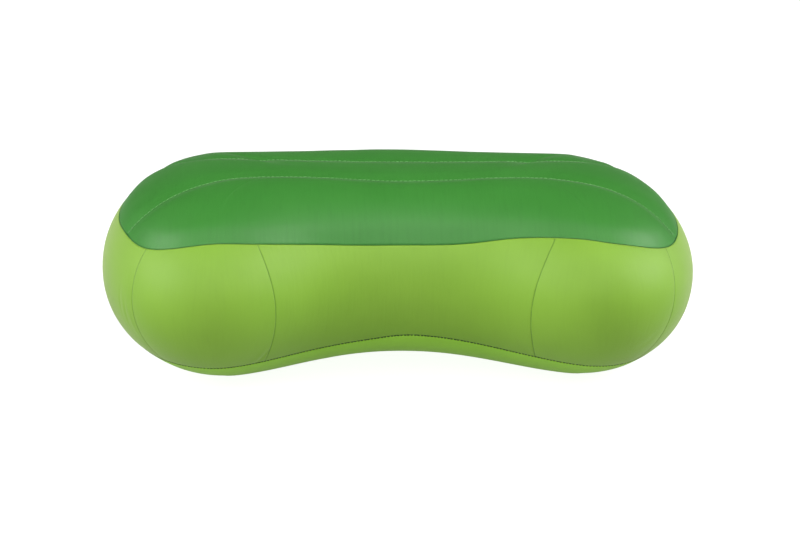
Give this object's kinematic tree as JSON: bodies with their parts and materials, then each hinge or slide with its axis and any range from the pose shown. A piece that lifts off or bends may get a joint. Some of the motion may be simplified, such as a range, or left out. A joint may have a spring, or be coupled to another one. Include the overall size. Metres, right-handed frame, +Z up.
{
  "type": "camp pillow",
  "caption": "Inflatable kidney-shaped camp pillow in a sewn two-tone knit cover, with an internal air bladder and a hinged flat valve.",
  "frame": {"origin": "bottom centre of the bounding box, on the ground", "axes": "+X along the length, to the right seen from the scalloped front; +Y from the scalloped front edge to the rear edge; +Z up"},
  "size_m": [0.34, 0.24, 0.1091],
  "materials": {
    "top_knit": "soft brushed knit, dark green, slight sheen",
    "wall_knit": "smooth stretch knit, lime green, slight sheen",
    "bottom_knit": "smooth stretch knit, lime green",
    "seam_thread": "twisted polyester thread, mid green",
    "quilt_thread": "fine polyester thread, mid green",
    "binding_tape": "folded woven tape, dark green",
    "wadding": "white lofted fibre",
    "bladder_film": "satin translucent film",
    "valve_body_plastic": "satin charcoal",
    "valve_cap_plastic": "satin charcoal with a fine moulded grain",
    "valve_button_plastic": "satin lime green",
    "gasket_rubber": "matt pale grey silicone"
  },
  "bodies": {
    "pillow": {"cover_top_panel": "top_knit", "cover_front_centre_panel": "wall_knit", "cover_front_left_panel": "wall_knit", "cover_front_right_panel": "wall_knit", "cover_left_end_panel": "wall_knit", "cover_right_end_panel": "wall_knit", "cover_rear_panel": "wall_knit", "cover_bottom_panel": "bottom_knit", "top_seam_thread": "seam_thread", "bottom_seam_thread": "seam_thread", "wall_seam_threads": "seam_thread", "front_quilt_thread": "quilt_thread", "rear_quilt_thread": "quilt_thread", "valve_opening_binding": "binding_tape", "top_wadding": "wadding", "bladder_top_sheet": "bladder_film", "bladder_side_wall": "bladder_film", "bladder_bottom_sheet": "bladder_film", "front_baffle": "bladder_film", "rear_baffle": "bladder_film", "valve_flange": "valve_body_plastic", "valve_tether_ring": "valve_cap_plastic"},
    "plug": {"deflate_plug": "valve_cap_plastic", "plug_gasket": "gasket_rubber"},
    "cap": {"inflate_cap": "valve_cap_plastic", "cap_gasket": "gasket_rubber"},
    "button": {"release_button": "valve_button_plastic", "one_way_disc": "gasket_rubber"}
  },
  "joints": [
    {"name": "plug_hinge", "type": "hinge", "parent": "pillow", "child": "plug", "pos_m": [-0.10898, 0.11321, 0.0548], "axis": [0, 0, 1], "range_deg": [0, 130]},
    {"name": "cap_hinge", "type": "hinge", "parent": "plug", "child": "cap", "pos_m": [-0.07503, 0.11569, 0.0548], "axis": [0, 0, -1], "range_deg": [0, 150]},
    {"name": "button_press", "type": "slide", "parent": "plug", "child": "button", "axis": [0.0229, -0.9997, 0], "range_m": [0, 0.0025]}
  ]
}
